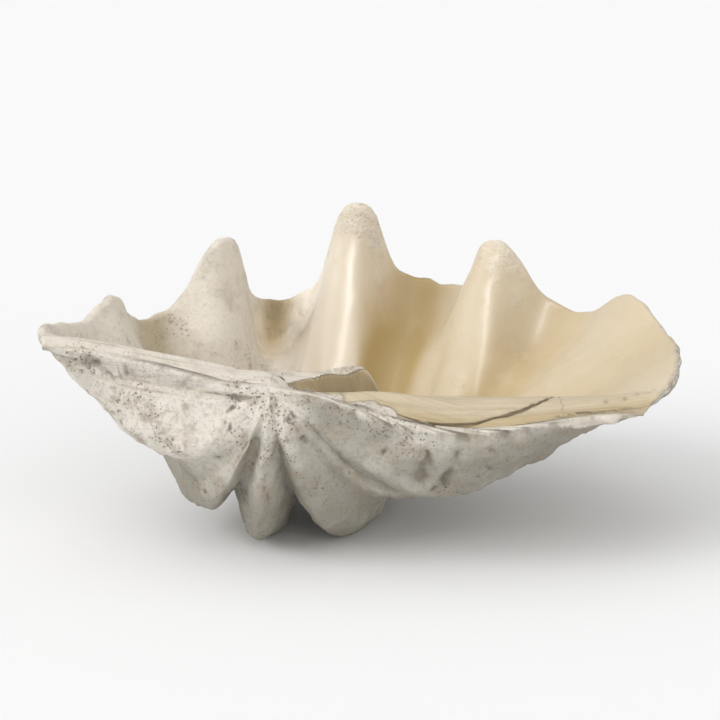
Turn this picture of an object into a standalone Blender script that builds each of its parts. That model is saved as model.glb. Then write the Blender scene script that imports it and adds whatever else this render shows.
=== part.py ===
"""One valve of a giant clam, lying on its ribs with the hollow side up.

The valve grew as one piece, so it is one solid. Its outside is worked out the way the animal
made it: every growth line is a smaller copy of the finished rim, turned down about the hinge.
The tall fingers of the rim run back to the beak as grooves outside and as ridges inside.

The valve's own frame has the beak at the origin, +X along the hinge to the long side, +Y to
the scalloped rim and +Z out of the hollow. Lengths are in metres and angles in degrees.
"""

import math

import bmesh
import bpy
import numpy as np

# Growth
TURN_AT_BEAK = 118.0  # how far the first growth line is turned down from the finished rim
FOLDS_FADE_FROM = 0.35  # share of the growth after which the folds take the rim's own widths

# The rim without its fingers: angle round the beak, reach from the beak, height
RIM = (
    (0, 0.352, 0.004),
    (4.6, 0.371, 0.012),
    (15.5, 0.413, 0.027),
    (30, 0.446, 0.028),
    (48.8, 0.458, 0.017),
    (68.3, 0.436, 0.015),
    (89.8, 0.396, -0.008),
    (118, 0.293, -0.006),
    (140, 0.240, 0.008),
    (154, 0.221, 0.014),
    (169.8, 0.226, 0.018),
    (180, 0.212, 0.010),
)

# The fingers, from the long side round to the short side. Each one has its angle, rise and
# draw-in at the rim, half its width to either side there, then its angle, its two half widths
# and its strength at the beak
FINGERS = (
    (34.0, 0.028, 0.008, 6.5, 5.5, 36.0, 5.0, 4.0, 1.4),
    (55.7, 0.080, 0.052, 3.8, 3.4, 50.0, 5.0, 6.0, 0.85),
    (78.5, 0.110, 0.054, 4.1, 4.0, 76.5, 4.0, 5.0, 0.95),
    (103.4, 0.090, 0.048, 4.6, 6.2, 103.5, 7.0, 4.5, 0.95),
    (139.9, 0.034, 0.014, 7.6, 6.4, 122.0, 7.0, 13.0, 2.2),
)
FINGER_TAPER = 1.8  # 2 is a round bell, 1 a sharp peak

# How full the belly hangs: angle, share of the reach, and the power of the sine it follows
BELLY = (
    (0, 1.00, 0.62),
    (15, 1.00, 0.66),
    (35, 0.86, 0.74),
    (50, 0.86, 0.80),
    (68, 1.025, 0.75),
    (90, 1.056, 0.70),
    (118, 1.20, 0.42),
    (140, 1.10, 0.42),
    (156, 1.26, 0.42),
    (180, 1.15, 0.42),
)

# The hinge line bows out and sags on the long side, and lifts on the short side
BOW = 0.026
SAG = 0.022
LIFT = 0.014
SWELL = 0.016
HINGE_REACH = 0.150  # how far behind the hinge line that still shows

# Wall
RIM_WALL = 0.012
BELLY_WALL = 0.014  # added at the middle of the belly
BEAK_WALL = 0.010  # added again under the beak
INNER_FOLDS_AT_BEAK = 0.35  # the hollow fills in, so its ridges fade towards the beak
INNER_FOLDS_WIDER = 1.8  # and grow this many times wider

# The hinge plate's crest: place along the hinge, distance behind the hinge line, height
PLATE = (
    (-0.215, 0.012, 0.036),
    (-0.180, 0.016, 0.033),
    (-0.112, 0.024, 0.022),
    (-0.037, 0.028, 0.012),
    (0.000, 0.027, 0.010),
    (0.040, 0.024, 0.006),
    (0.086, 0.032, 0.002),
    (0.181, 0.064, -0.002),
    (0.250, 0.060, 0.002),
    (0.330, 0.040, 0.008),
    (0.380, 0.020, 0.014),
)
PLATE_BACK_SLOPE = 1.7  # the wall under the plate's back edge
PLATE_BACK_ROUND = 0.014
WALL_RIDGES = 0.9  # how far the hollow's ridges climb that wall

# The ligament's groove: place along the hinge, place across it, depth, half width
GROOVE = (
    (0.085, 0.004, 0.0000, 0.004),
    (0.110, -0.004, 0.0030, 0.005),
    (0.135, -0.013, 0.0060, 0.006),
    (0.160, -0.0145, 0.0065, 0.006),
    (0.180, -0.011, 0.0065, 0.006),
    (0.200, -0.005, 0.0060, 0.006),
    (0.218, 0.003, 0.0060, 0.005),
    (0.238, 0.013, 0.0055, 0.005),
    (0.258, 0.031, 0.0040, 0.005),
    (0.272, 0.048, 0.0000, 0.004),
)

# The tooth beside the beak, a roof-shaped ridge from one point to the other
TOOTH_ROOT = (-0.030, 0.026, 0.011)
TOOTH_TIP = (0.084, 0.064, 0.013)
TOOTH_SLOPE = 1.5
SOCKET_ROOT = (0.000, 0.034, -0.007)  # the floor of the socket between tooth and plate
SOCKET_TIP = (0.085, 0.046, -0.010)
SOCKET_SLOPE = 1.5
PLATE_BLEND = 0.010  # how softly the plate's wall runs into the hollow
HINGE_BLEND = 0.0025
TOOTH_BLEND = 0.0025
HINGE_EDGE = 0.004  # the plate starts about this far behind the hinge line

# How it lies
ROLL = 4.5  # the long side hangs lower
FOOT_WEAR = 0.0045  # the ribs it stands on are worn flat by this much

# Fineness of the faceted surface
GROWTH_LINES = 35
SPOKES = 69
PLATE_SHARE = 0.42  # the inside has its growth lines closest up to this share
PLATE_CLOSER = 4.0  # and there they are this many times closer
LIP_STEPS = 2
WELD = 0.00005


def ease(start, end, value):
    """A smooth step from 0 at start to 1 at end."""
    share = np.clip((value - start) / (end - start), 0, 1)
    return share * share * (3 - 2 * share)


def mix(first, second, share):
    """The value that share of the way from first to second."""
    return first + (second - first) * share


def through(stations, column, at):
    """A smooth curve through one column of the stations, read at the places given."""
    table = np.array(stations, float)
    places, values = table[:, 0], table[:, column]
    gaps = np.diff(places)
    slopes = np.diff(values) / gaps
    tangents = np.empty_like(values)
    tangents[0], tangents[-1] = slopes[0], slopes[-1]
    tangents[1:-1] = (slopes[:-1] * gaps[1:] + slopes[1:] * gaps[:-1]) / (gaps[:-1] + gaps[1:])
    at = np.clip(at, places[0], places[-1])
    i = np.clip(np.searchsorted(places, at) - 1, 0, len(gaps) - 1)
    t = (at - places[i]) / gaps[i]
    return (
        (1 + 2 * t) * (1 - t) ** 2 * values[i]
        + t * (1 - t) ** 2 * gaps[i] * tangents[i]
        + t * t * (3 - 2 * t) * values[i + 1]
        + t * t * (t - 1) * gaps[i] * tangents[i + 1]
    )


def spaced(start, end, count, closeness):
    """Values from start to end, closest where the closeness function is high."""
    fine = np.linspace(start, end, 3601)
    density = closeness(fine)
    total = np.concatenate([[0], np.cumsum((density[1:] + density[:-1]) / 2)])
    return np.interp(np.linspace(0, total[-1], count), total, fine)


def rim_closeness(angle):
    """Spokes stand closer at the fingers and at the hinge."""
    closeness = 1.0 + 2.5 * (np.exp(-angle / 4) + np.exp(-(180 - angle) / 4))
    for finger in FINGERS:
        closeness += 1.6 * np.exp(-(((angle - finger[0]) / 5.5) ** 2))
    return closeness


def plate_closeness(angle):
    """On the inside near the beak they stand closer only at the hinge line."""
    return 1.0 + 3.0 * np.exp(-angle / 6) + 1.5 * np.exp(-(180 - angle) / 6)


def inside_closeness(growth):
    """Growth lines stand closer over the hinge plate."""
    return 1 + (PLATE_CLOSER - 1) * (1 - ease(PLATE_SHARE - 0.05, PLATE_SHARE + 0.1, growth))


def folds(growth, angle, strength, skew, wider):
    """How far the fingers draw the wall in and lift it, at each growth share and angle."""
    late = ease(FOLDS_FADE_FROM, 1.0, growth)
    drawn = 0 * angle * growth
    lifted = 0 * angle * growth
    for at_rim, rise, draw, right, left, at_beak, beak_right, beak_left, early in FINGERS:
        centre = mix(mix(at_beak, at_rim, 1 - skew), at_rim, late)
        right_width = mix(mix(beak_right, right, 1 - skew), right, late)
        left_width = mix(mix(beak_left, left, 1 - skew), left, late)
        width = np.where(angle < centre, right_width, left_width) * wider
        bell = np.exp(-math.log(2) * np.abs((angle - centre) / width) ** FINGER_TAPER)
        size = mix(early, 1.0, late) * strength * bell
        drawn = drawn + draw * size
        lifted = lifted + rise * size
    return drawn, lifted


def shape_hinge(points):
    """Bows, sags and lifts the points near the hinge line, and swells the front of the beak."""
    x, y, z = points[..., 0], points[..., 1], points[..., 2]
    near = 1 - ease(-0.020, HINGE_REACH, y)
    bow = BOW * ease(0.030, 0.150, x) * (1 - ease(0.190, 0.370, x))
    sag = SAG * ease(0.020, 0.150, x) * (1 - ease(0.170, 0.330, x))
    lift = LIFT * ease(0, 0.180, -x)
    swell = SWELL * ease(0, 0.070, -z) * ease(-0.040, 0.060, -x) * ease(-0.215, -0.120, x)
    return np.stack([x, y - (bow + swell) * near, z - (sag - lift) * near], -1)


def growth_surface(growth, angle, strength, skew=1.0, wider=1.0):
    """Points of the valve at each growth share (rows) and angle round the beak (columns)."""
    drawn, lifted = folds(growth, angle, strength, skew, wider)
    reach = through(RIM, 1, angle) - drawn
    height = through(RIM, 2, angle) + lifted
    turn = math.radians(TURN_AT_BEAK) * (1 - growth)
    spoke = np.radians(angle)
    back = reach * np.sin(spoke)
    depth = reach * through(BELLY, 1, angle) * np.clip(np.sin(spoke), 0, 1) ** through(BELLY, 2, angle)
    x = growth * reach * np.cos(spoke)
    y = growth * (back * np.cos(turn) + height * np.sin(turn))
    z = growth * (height * np.cos(turn) - depth * np.sin(turn))
    return shape_hinge(np.stack([x, y, z], -1))


def inward(points):
    """The unit normals of a grid of points, pointing into the hollow."""
    normal = np.cross(np.gradient(points, axis=0), np.gradient(points, axis=1))
    return normal / np.maximum(np.linalg.norm(normal, axis=-1, keepdims=True), 1e-9)


def roof_ridge(x, y, root, tip, slope):
    """Height of a ridge that runs from root to tip and falls away on both sides."""
    along = np.array(tip) - np.array(root)
    length = math.hypot(along[0], along[1])
    share = np.clip(((x - root[0]) * along[0] + (y - root[1]) * along[1]) / length**2, 0, 1)
    away = np.hypot(x - root[0] - share * along[0], y - root[1] - share * along[1])
    return root[2] + share * along[2] - slope * away


def soft_max(first, second, radius):
    """The higher of two heights, rounded where they meet."""
    return np.logaddexp(first / radius, second / radius) * radius


def plate_height(x, y, hinge, ridges):
    """The hinge plate: up from the hinge line, over its crest and down the wall behind it."""
    front = np.interp(x, hinge[:, 0], hinge[:, 1])
    foot = np.interp(x, hinge[:, 0], hinge[:, 2])
    crest = through(PLATE, 1, x)
    rise = 1 - (1 - np.clip((y - front) / crest, 0, 1)) ** 2
    behind = np.maximum(0, y - front - crest)
    behind = behind - WALL_RIDGES * ridges * ease(0, 0.04, behind)
    fall = PLATE_BACK_SLOPE * (np.hypot(behind, PLATE_BACK_ROUND) - PLATE_BACK_ROUND)
    off_groove = (y - through(GROOVE, 1, x)) / through(GROOVE, 3, x)
    groove = through(GROOVE, 2, x) * np.exp(-(off_groove**2))
    return mix(foot, through(PLATE, 2, x), rise) - fall - groove


def hollow_surface(growth, angle, outside):
    """The inside of the valve: the hollow, the hinge plate over it and the tooth."""
    smooth = growth_surface(growth, angle, 0.35)
    wall = RIM_WALL + BELLY_WALL * (1 - growth) + BEAK_WALL * ease(0, 0.5, 0.5 - growth)
    wall = wall * mix(0.15, 1, ease(0, 10, angle) * ease(0, 10, 180 - angle))
    strength = mix(INNER_FOLDS_AT_BEAK, 1.0, ease(0.1, 0.95, growth))
    wider = mix(INNER_FOLDS_WIDER, 1, growth)
    inside = growth_surface(growth, angle, strength, mix(0.5, 1, growth), wider)
    inside = inside + wall[..., None] * inward(smooth)
    # At the beak the inside closes on one line across the hinge plate
    inside[0] = (inside[1] + inside[1, ::-1]) / 2
    inside[0, :, 0] = 0
    x, y, z = inside[..., 0], inside[..., 1], inside[..., 2]
    hinge = np.concatenate([outside[::-1, -1], outside[1:, 0]])
    front = np.interp(x, hinge[:, 0], hinge[:, 1])
    y = soft_max(y, front, HINGE_EDGE)
    ridges = folds(growth, angle, strength, 1.0, wider)[0]
    blend = mix(HINGE_BLEND, PLATE_BLEND, ease(0, 0.05, y - front))
    z = soft_max(z, plate_height(x, y, hinge, ridges), blend)
    z = soft_max(z, roof_ridge(x, y, SOCKET_ROOT, SOCKET_TIP, SOCKET_SLOPE), TOOTH_BLEND)
    z = soft_max(z, roof_ridge(x, y, TOOTH_ROOT, TOOTH_TIP, TOOTH_SLOPE), TOOTH_BLEND)
    z[0] = (z[0] + z[0, ::-1]) / 2
    return np.stack([x, y, z], -1)


def lip_rings(outside, inside):
    """Loops that round the rim over from the outside to the inside, ending on one line."""
    outer, inner = outside[-1], inside[-1]
    middle = (outer + inner) / 2
    half = np.linalg.norm(outer - inner, axis=-1, keepdims=True) / 2
    onward = (outside[-1] - outside[-2]) + (inside[-1] - inside[-2])
    onward /= np.linalg.norm(onward, axis=-1, keepdims=True)
    rings = []
    for step in range(1, LIP_STEPS + 1):
        turn = step / LIP_STEPS * math.pi / 2
        crown = middle + onward * half * math.sin(turn)
        spread = (outer - middle) * math.cos(turn)
        rings.append(np.concatenate([crown + spread, (crown - spread)[::-1]]))
    return rings


def valve_rings():
    """Closed loops from the beak to the rim. Each goes out along the outside and back inside."""
    growth = np.linspace(0, 1, GROWTH_LINES)[:, None]
    angle = spaced(0, 180, SPOKES, rim_closeness)[None, :]
    outside = growth_surface(growth, angle, 1.0)
    growth = spaced(0, 1, GROWTH_LINES, inside_closeness)[:, None]
    plate_angle = spaced(0, 180, SPOKES, plate_closeness)[None, :]
    angle = mix(plate_angle, angle, ease(0.3, 0.9, growth))
    inside = hollow_surface(growth, angle, outside)
    loops = [np.concatenate([out, back[::-1]]) for out, back in zip(outside, inside)]
    return np.array(loops + lip_rings(outside, inside))


def lay_down(points):
    """Tilts the valve, sets it on its worn ribs and centres it on the origin."""
    roll = math.radians(ROLL)
    x = points[..., 0] * math.cos(roll) + points[..., 2] * math.sin(roll)
    z = points[..., 2] * math.cos(roll) - points[..., 0] * math.sin(roll)
    z = np.maximum(z - z.min() - FOOT_WEAR, 0)
    y = points[..., 1]
    x = x - (x.max() + x.min()) / 2
    y = y - (y.max() + y.min()) / 2
    return np.stack([x, y, z], -1)


def ring_mesh(name, rings):
    """A closed mesh skinned over the loops. The first loop is a point and a line, the last a line."""
    bm = bmesh.new()
    rows = [[bm.verts.new(point) for point in ring] for ring in rings]
    for row, following in zip(rows, rows[1:]):
        for i in range(len(row)):
            bm.faces.new((row[i - 1], following[i - 1], following[i], row[i]))
    bmesh.ops.remove_doubles(bm, verts=bm.verts, dist=WELD)
    bmesh.ops.dissolve_degenerate(bm, edges=bm.edges, dist=WELD)
    bmesh.ops.triangulate(bm, faces=bm.faces)
    bmesh.ops.recalc_face_normals(bm, faces=bm.faces)
    mesh = bpy.data.meshes.new(name)
    bm.to_mesh(mesh)
    bm.free()
    mesh.shade_smooth()
    return mesh


def chalky_shell():
    """Weathered cream shell: matt, and a little paler than bone."""
    material = bpy.data.materials.new("weathered_shell")
    material.use_nodes = True
    surface = material.node_tree.nodes["Principled BSDF"]
    surface.inputs["Base Color"].default_value = (0.72, 0.66, 0.54, 1)
    surface.inputs["Roughness"].default_value = 0.6
    surface.inputs["Metallic"].default_value = 0.0
    return material


def main():
    """Clears the scene and makes the valve."""
    for old in list(bpy.data.objects):
        bpy.data.objects.remove(old)
    mesh = ring_mesh("clam_shell", lay_down(valve_rings()))
    mesh.materials.append(chalky_shell())
    shell = bpy.data.objects.new("clam_shell", mesh)
    bpy.context.scene.collection.objects.link(shell)


main()
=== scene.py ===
"""One valve of a giant clam, dressed: a chalky, pitted outside and a smooth cream hollow.

The surface is worked out the way the valve grew. Every growth line is a smaller copy of the
finished rim, turned down about the hinge, so each point belongs to a growth share (0 at the
beak, 1 at the rim) and to an angle round the beak (0 on the long side's hinge line, 180 on the
short side's). Lengths are in metres and angles in degrees, unless a name says otherwise.
"""

from __future__ import annotations

import logging
import math
from collections.abc import Callable
from dataclasses import dataclass, field
from enum import Enum

import bpy
import numpy as np
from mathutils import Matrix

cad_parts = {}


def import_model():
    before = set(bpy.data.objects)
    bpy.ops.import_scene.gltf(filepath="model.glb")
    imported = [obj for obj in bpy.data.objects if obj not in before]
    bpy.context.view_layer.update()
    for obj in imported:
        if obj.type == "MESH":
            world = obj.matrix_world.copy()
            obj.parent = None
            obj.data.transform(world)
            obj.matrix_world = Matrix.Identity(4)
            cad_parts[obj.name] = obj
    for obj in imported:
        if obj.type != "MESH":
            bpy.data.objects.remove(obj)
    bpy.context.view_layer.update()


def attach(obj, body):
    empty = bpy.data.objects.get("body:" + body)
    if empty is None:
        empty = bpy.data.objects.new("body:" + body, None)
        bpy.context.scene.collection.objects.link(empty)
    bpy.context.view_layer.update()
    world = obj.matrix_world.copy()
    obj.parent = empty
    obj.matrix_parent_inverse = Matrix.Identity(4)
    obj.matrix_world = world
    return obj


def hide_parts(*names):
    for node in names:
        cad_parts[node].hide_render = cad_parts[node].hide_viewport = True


LOG = logging.getLogger("clam_shell")
Table = tuple[tuple[float, ...], ...]
Point = tuple[float, float, float]
Colour = tuple[float, float, float]
# Where a smooth step starts and ends
Band = tuple[float, float]
# A depth or strength, a width, and the path that it follows
Trace = tuple[float, float, tuple[Point, ...]]
Array = np.ndarray
Socket = bpy.types.NodeSocket
# Half widths from the deep groove, past which nothing of it shows
FAR_OFF = 9.0
# How far strands drift across for each metre along the hinge, on the two sides of the beak
SHORT_SLANT, LONG_SLANT = 0.12, 0.10
FINE_STEPS = 3601
SMALLEST = 1e-9


def ease(start: float, end: float, value: Array) -> Array:
    """A smooth step, 3t^2 - 2t^3, from 0 at start to 1 at end."""
    share = np.clip((value - start) / (end - start), 0, 1)
    return share * share * (3 - 2 * share)


def hump(rise: Band, fall: Band, value: Array) -> Array:
    """0 before the first band, 1 between the two, and 0 past the second."""
    return ease(*rise, value) * (1 - ease(*fall, value))


def mix(first: Array, second: Array, share: Array) -> Array:
    """The value that share of the way from first to second."""
    return first + (second - first) * share


def bell(offset: Array) -> Array:
    """exp(-x^2): 1 at an offset of 0, and nearly 0 past 2."""
    return np.exp(-(offset**2))


def soft_max(first: Array, second: Array, radius: Array) -> Array:
    """The higher of two heights, rounded over the radius where they meet.

    The formula is r log(exp(a / r) + exp(b / r)).

    Args:
        first: Heights.
        second: Other heights.
        radius: The rounding's size, r.

    Returns:
        The rounded heights.
    """
    return np.logaddexp(first / radius, second / radius) * radius


def through(stations: Table, column: int, at: Array) -> Array:
    """A smooth curve through one column of a table, read at the places given.

    Between stations it is the cubic that meets each value with the mean slope there, each side
    weighted by the other side's length.

    Args:
        stations: Rows whose first value is the place.
        column: The column to read.
        at: The places.

    Returns:
        The curve's values, held level past both ends.
    """
    table = np.array(stations, float)
    places, values = table[:, 0], table[:, column]
    gaps = np.diff(places)
    slopes = np.diff(values) / gaps
    tangents = np.empty_like(values)
    tangents[0], tangents[-1] = slopes[0], slopes[-1]
    tangents[1:-1] = (slopes[:-1] * gaps[1:] + slopes[1:] * gaps[:-1]) / (gaps[:-1] + gaps[1:])
    at = np.clip(at, places[0], places[-1])
    i = np.clip(np.searchsorted(places, at) - 1, 0, len(gaps) - 1)
    t = (at - places[i]) / gaps[i]
    return (
        (1 + 2 * t) * (1 - t) ** 2 * values[i]
        + t * (1 - t) ** 2 * gaps[i] * tangents[i]
        + t * t * (3 - 2 * t) * values[i + 1]
        + t * t * (t - 1) * gaps[i] * tangents[i + 1]
    )


def spaced(start: float, end: float, count: int, closeness: Callable[[Array], Array]) -> Array:
    """Values from start to end, closest together where the closeness function is high.

    They stand at equal steps of the running total of the closeness.

    Args:
        start: The first value.
        end: The last value.
        count: How many values there are.
        closeness: Gives the closeness at any values.

    Returns:
        The values.
    """
    fine = np.linspace(start, end, FINE_STEPS)
    density = closeness(fine)
    total = np.concatenate([[0], np.cumsum((density[1:] + density[:-1]) / 2)])
    return np.interp(np.linspace(0, total[-1], count), total, fine)


def grid_normals(points: Array) -> Array:
    """Unit normals of a grid of points: the cross product of its two directions."""
    normal = np.cross(np.gradient(points, axis=0), np.gradient(points, axis=1))
    return normal / np.maximum(np.linalg.norm(normal, axis=-1, keepdims=True), SMALLEST)


def strand_slant(x: Array) -> Array:
    """How strands drift across as they run along the hinge, away from the beak both ways."""
    return np.where(x < 0, SHORT_SLANT * x, -LONG_SLANT * x)


def lumps(points: Array, size: Array, seed: int, count: int = 28) -> Array:
    """Smooth random lumps of about the given size, with a spread of about 1.

    The sum of plane waves cos(k.p + phase) over random directions, scaled by sqrt(2 / count).

    Args:
        points: Places, with x, y and z last.
        size: The lumps' width, one number or one for each axis.
        seed: Picks the pattern.
        count: The number of waves.

    Returns:
        One value for each point.
    """
    chance = np.random.default_rng(seed)
    ways = chance.normal(size=(count, 3))
    ways /= np.linalg.norm(ways, axis=1, keepdims=True)
    ways *= chance.uniform(0.6, 1.5, (count, 1)) * math.pi / np.asarray(size, float)
    turns = chance.uniform(0, 2 * math.pi, count)
    return np.cos(points @ ways.T + turns).sum(-1) * math.sqrt(2 / count)


def warped(points: Array, size: float, seeds: tuple[int, int, int], reach: float) -> Array:
    """Places shifted by smooth random lumps, so that what is drawn at them wavers.

    Args:
        points: Places.
        size: The lumps' width.
        seeds: One pattern for each axis.
        reach: How far the places shift.

    Returns:
        The shifted places.
    """
    return points + reach * np.stack([lumps(points, size, seed) for seed in seeds], -1)


def near_path(points: Array, path: tuple[Point, ...], width: float) -> Array:
    """A bell of the distance to a path through space: 1 on the path, 0.37 at the width.

    The distance is the shortest one to any of the path's straight pieces.

    Args:
        points: Places.
        path: The path's corners; one alone is a spot.
        width: The bell's width.

    Returns:
        One value for each place.
    """
    away = np.full(points.shape[:-1], np.inf)
    for first, second in zip(path, path[1:] or path):
        start = np.array(first)
        along = np.array(second) - start
        share = np.clip(((points - start) @ along) / max(along @ along, SMALLEST**2), 0, 1)
        away = np.minimum(away, np.linalg.norm(points - start - share[..., None] * along, axis=-1))
    return bell(away / width)


class Side(Enum):
    """The two faces of the wall."""

    OUTSIDE = "outside"
    INSIDE = "inside"


@dataclass(frozen=True)
class Finger:
    """One fold of the rim, which is a groove outside and a ridge in the hollow.

    Right is towards the long side. The half widths are in degrees round the beak.
    """

    at_rim: float
    rise: float
    draw: float
    right: float
    left: float
    at_beak: float
    beak_right: float
    beak_left: float
    beak_strength: float
    hollow_heads_for: float
    hollow_right: float
    hollow_left: float


@dataclass(frozen=True)
class Growth:
    """The form of the valve: its rim, its fingers and how it turned as it grew."""

    turn_at_beak: float = 118.0
    folds_from: float = 0.35
    hollow_folds_from: float = 0.62
    # Angle, reach from the beak, height
    rim: Table = (
        (0, 0.352, 0.004),
        (4.6, 0.371, 0.012),
        (15.5, 0.413, 0.027),
        (30, 0.446, 0.028),
        (48.8, 0.458, 0.009),
        (68.3, 0.436, 0.015),
        (89.8, 0.396, -0.018),
        (118, 0.293, -0.012),
        (140, 0.240, 0.008),
        (154, 0.221, 0.014),
        (169.8, 0.226, 0.018),
        (180, 0.212, 0.010),
    )
    fingers: tuple[Finger, ...] = (
        Finger(34.0, 0.028, 0.008, 6.5, 5.5, 36.0, 5.0, 4.0, 1.4, 36.0, 9.0, 8.0),
        Finger(55.7, 0.080, 0.052, 2.8, 3.5, 50.0, 8.0, 8.0, 0.55, 48.8, 5.0, 9.0),
        Finger(78.5, 0.1125, 0.054, 3.4, 3.5, 76.5, 4.0, 6.0, 0.95, 73.8, 4.6, 9.5),
        Finger(103.4, 0.096, 0.048, 4.6, 5.8, 103.5, 6.0, 5.5, 0.95, 101.0, 5.5, 9.0),
        Finger(139.4, 0.029, 0.014, 8.0, 7.0, 122.0, 7.0, 13.0, 1.6, 136.0, 10.0, 10.0),
    )
    finger_taper: float = 3.0
    hollow_taper: float = 2.2
    rib_taper: float = 1.8
    hollow_narrows_from: float = 0.82
    # Angle, share of the reach, power of the sine
    belly: Table = (
        (0, 1.00, 0.52),
        (15, 1.00, 0.66),
        (35, 0.86, 0.74),
        (50, 0.86, 0.80),
        (68, 1.025, 0.75),
        (90, 1.056, 0.70),
        (118, 1.20, 0.42),
        (140, 1.10, 0.42),
        (156, 1.26, 0.42),
        (180, 1.15, 0.42),
    )
    # How the hinge line departs from a straight one, and over which bands along it
    bow: float = 0.026
    bow_bands: tuple[Band, Band] = ((0.030, 0.150), (0.190, 0.370))
    sag: float = 0.022
    sag_bands: tuple[Band, Band] = ((0.020, 0.150), (0.170, 0.330))
    lift: float = 0.014
    lift_reach: float = 0.180
    swell: float = 0.016
    swell_drop: float = 0.070
    swell_bands: tuple[Band, Band] = ((-0.040, 0.060), (0.120, 0.215))
    hinge_band: Band = (-0.020, 0.150)

    def folds(
        self,
        growth: Array,
        angle: Array,
        strength: Array,
        side: Side = Side.OUTSIDE,
    ) -> tuple[Array, Array]:
        """How far the fingers draw the wall in and lift it.

        At the rim each finger is a blunt bell 1 / (1 + |d|^taper), with d the angle from its
        centre in half widths. Towards the beak the outside's become exp(-ln 2 |d|^taper), which
        keeps the ribs between them round, and the hollow's become wider and softer.

        Args:
            growth: Growth shares.
            angle: Angles round the beak.
            strength: Scales the folds.
            side: The face of the wall that is meant.

        Returns:
            The draw-in and the rise.
        """
        hollow = side is Side.INSIDE
        late = ease(self.hollow_folds_from if hollow else self.folds_from, 1.0, growth)
        last = ease(self.hollow_narrows_from, 1.0, growth)
        taper = mix(self.hollow_taper, self.finger_taper, last) if hollow else self.finger_taper
        drawn = 0 * angle * growth
        lifted = 0 * angle * growth
        for finger in self.fingers:
            if hollow:
                centre = mix(finger.hollow_heads_for, finger.at_rim, late)
                right = mix(finger.hollow_right, finger.right, last)
                left = mix(finger.hollow_left, finger.left, last)
            else:
                centre = mix(finger.at_beak, finger.at_rim, late)
                right = mix(finger.beak_right, finger.right, late)
                left = mix(finger.beak_left, finger.left, late)
            width = np.where(angle < centre, right, left)
            off = np.abs((angle - centre) / width)
            shape = 1 / (1 + off**taper)
            if not hollow:
                shape = mix(np.exp(-math.log(2) * off**self.rib_taper), shape, late)
            size = mix(finger.beak_strength, 1.0, late) * strength * shape
            drawn = drawn + finger.draw * size
            lifted = lifted + finger.rise * size
        return drawn, lifted

    def bend_hinge(self, points: Array) -> Array:
        """Bows, sags and lifts the hinge line, and swells the front of the beak.

        Each is a size times smooth steps along the hinge, and fades across it.

        Args:
            points: The surface on a straight hinge line.

        Returns:
            The bent surface.
        """
        x, y, z = points[..., 0], points[..., 1], points[..., 2]
        near = 1 - ease(*self.hinge_band, y)
        bow = self.bow * hump(*self.bow_bands, x)
        sag = self.sag * hump(*self.sag_bands, x)
        lift = self.lift * ease(0, self.lift_reach, -x)
        swell = self.swell * ease(0, self.swell_drop, -z) * hump(*self.swell_bands, -x)
        return np.stack([x, y - (bow + swell) * near, z - (sag - lift) * near], -1)

    def surface(
        self,
        growth: Array,
        angle: Array,
        strength: Array,
        side: Side = Side.OUTSIDE,
    ) -> Array:
        """Points of the wall for each growth share and angle.

        A rim point (reach cos a, reach sin a, height) is scaled by the growth share and turned
        down by the angle that is left to grow. Going down, its lever is the belly's depth,
        which follows a power of sin a.

        Args:
            growth: Growth shares, down the rows.
            angle: Angles round the beak, along the columns.
            strength: Scales the folds.
            side: As in folds.

        Returns:
            Points, with x, y and z last.
        """
        drawn, lifted = self.folds(growth, angle, strength, side)
        reach = through(self.rim, 1, angle) - drawn
        height = through(self.rim, 2, angle) + lifted
        turn = np.radians(self.turn_at_beak) * (1 - growth)
        spoke = np.radians(angle)
        back = reach * np.sin(spoke)
        sine = np.clip(np.sin(spoke), 0, 1)
        depth = reach * through(self.belly, 1, angle) * sine ** through(self.belly, 2, angle)
        x = growth * reach * np.cos(spoke)
        y = growth * (back * np.cos(turn) + height * np.sin(turn))
        z = growth * (height * np.cos(turn) - depth * np.sin(turn))
        return self.bend_hinge(np.stack([x, y, z], -1))


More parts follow.
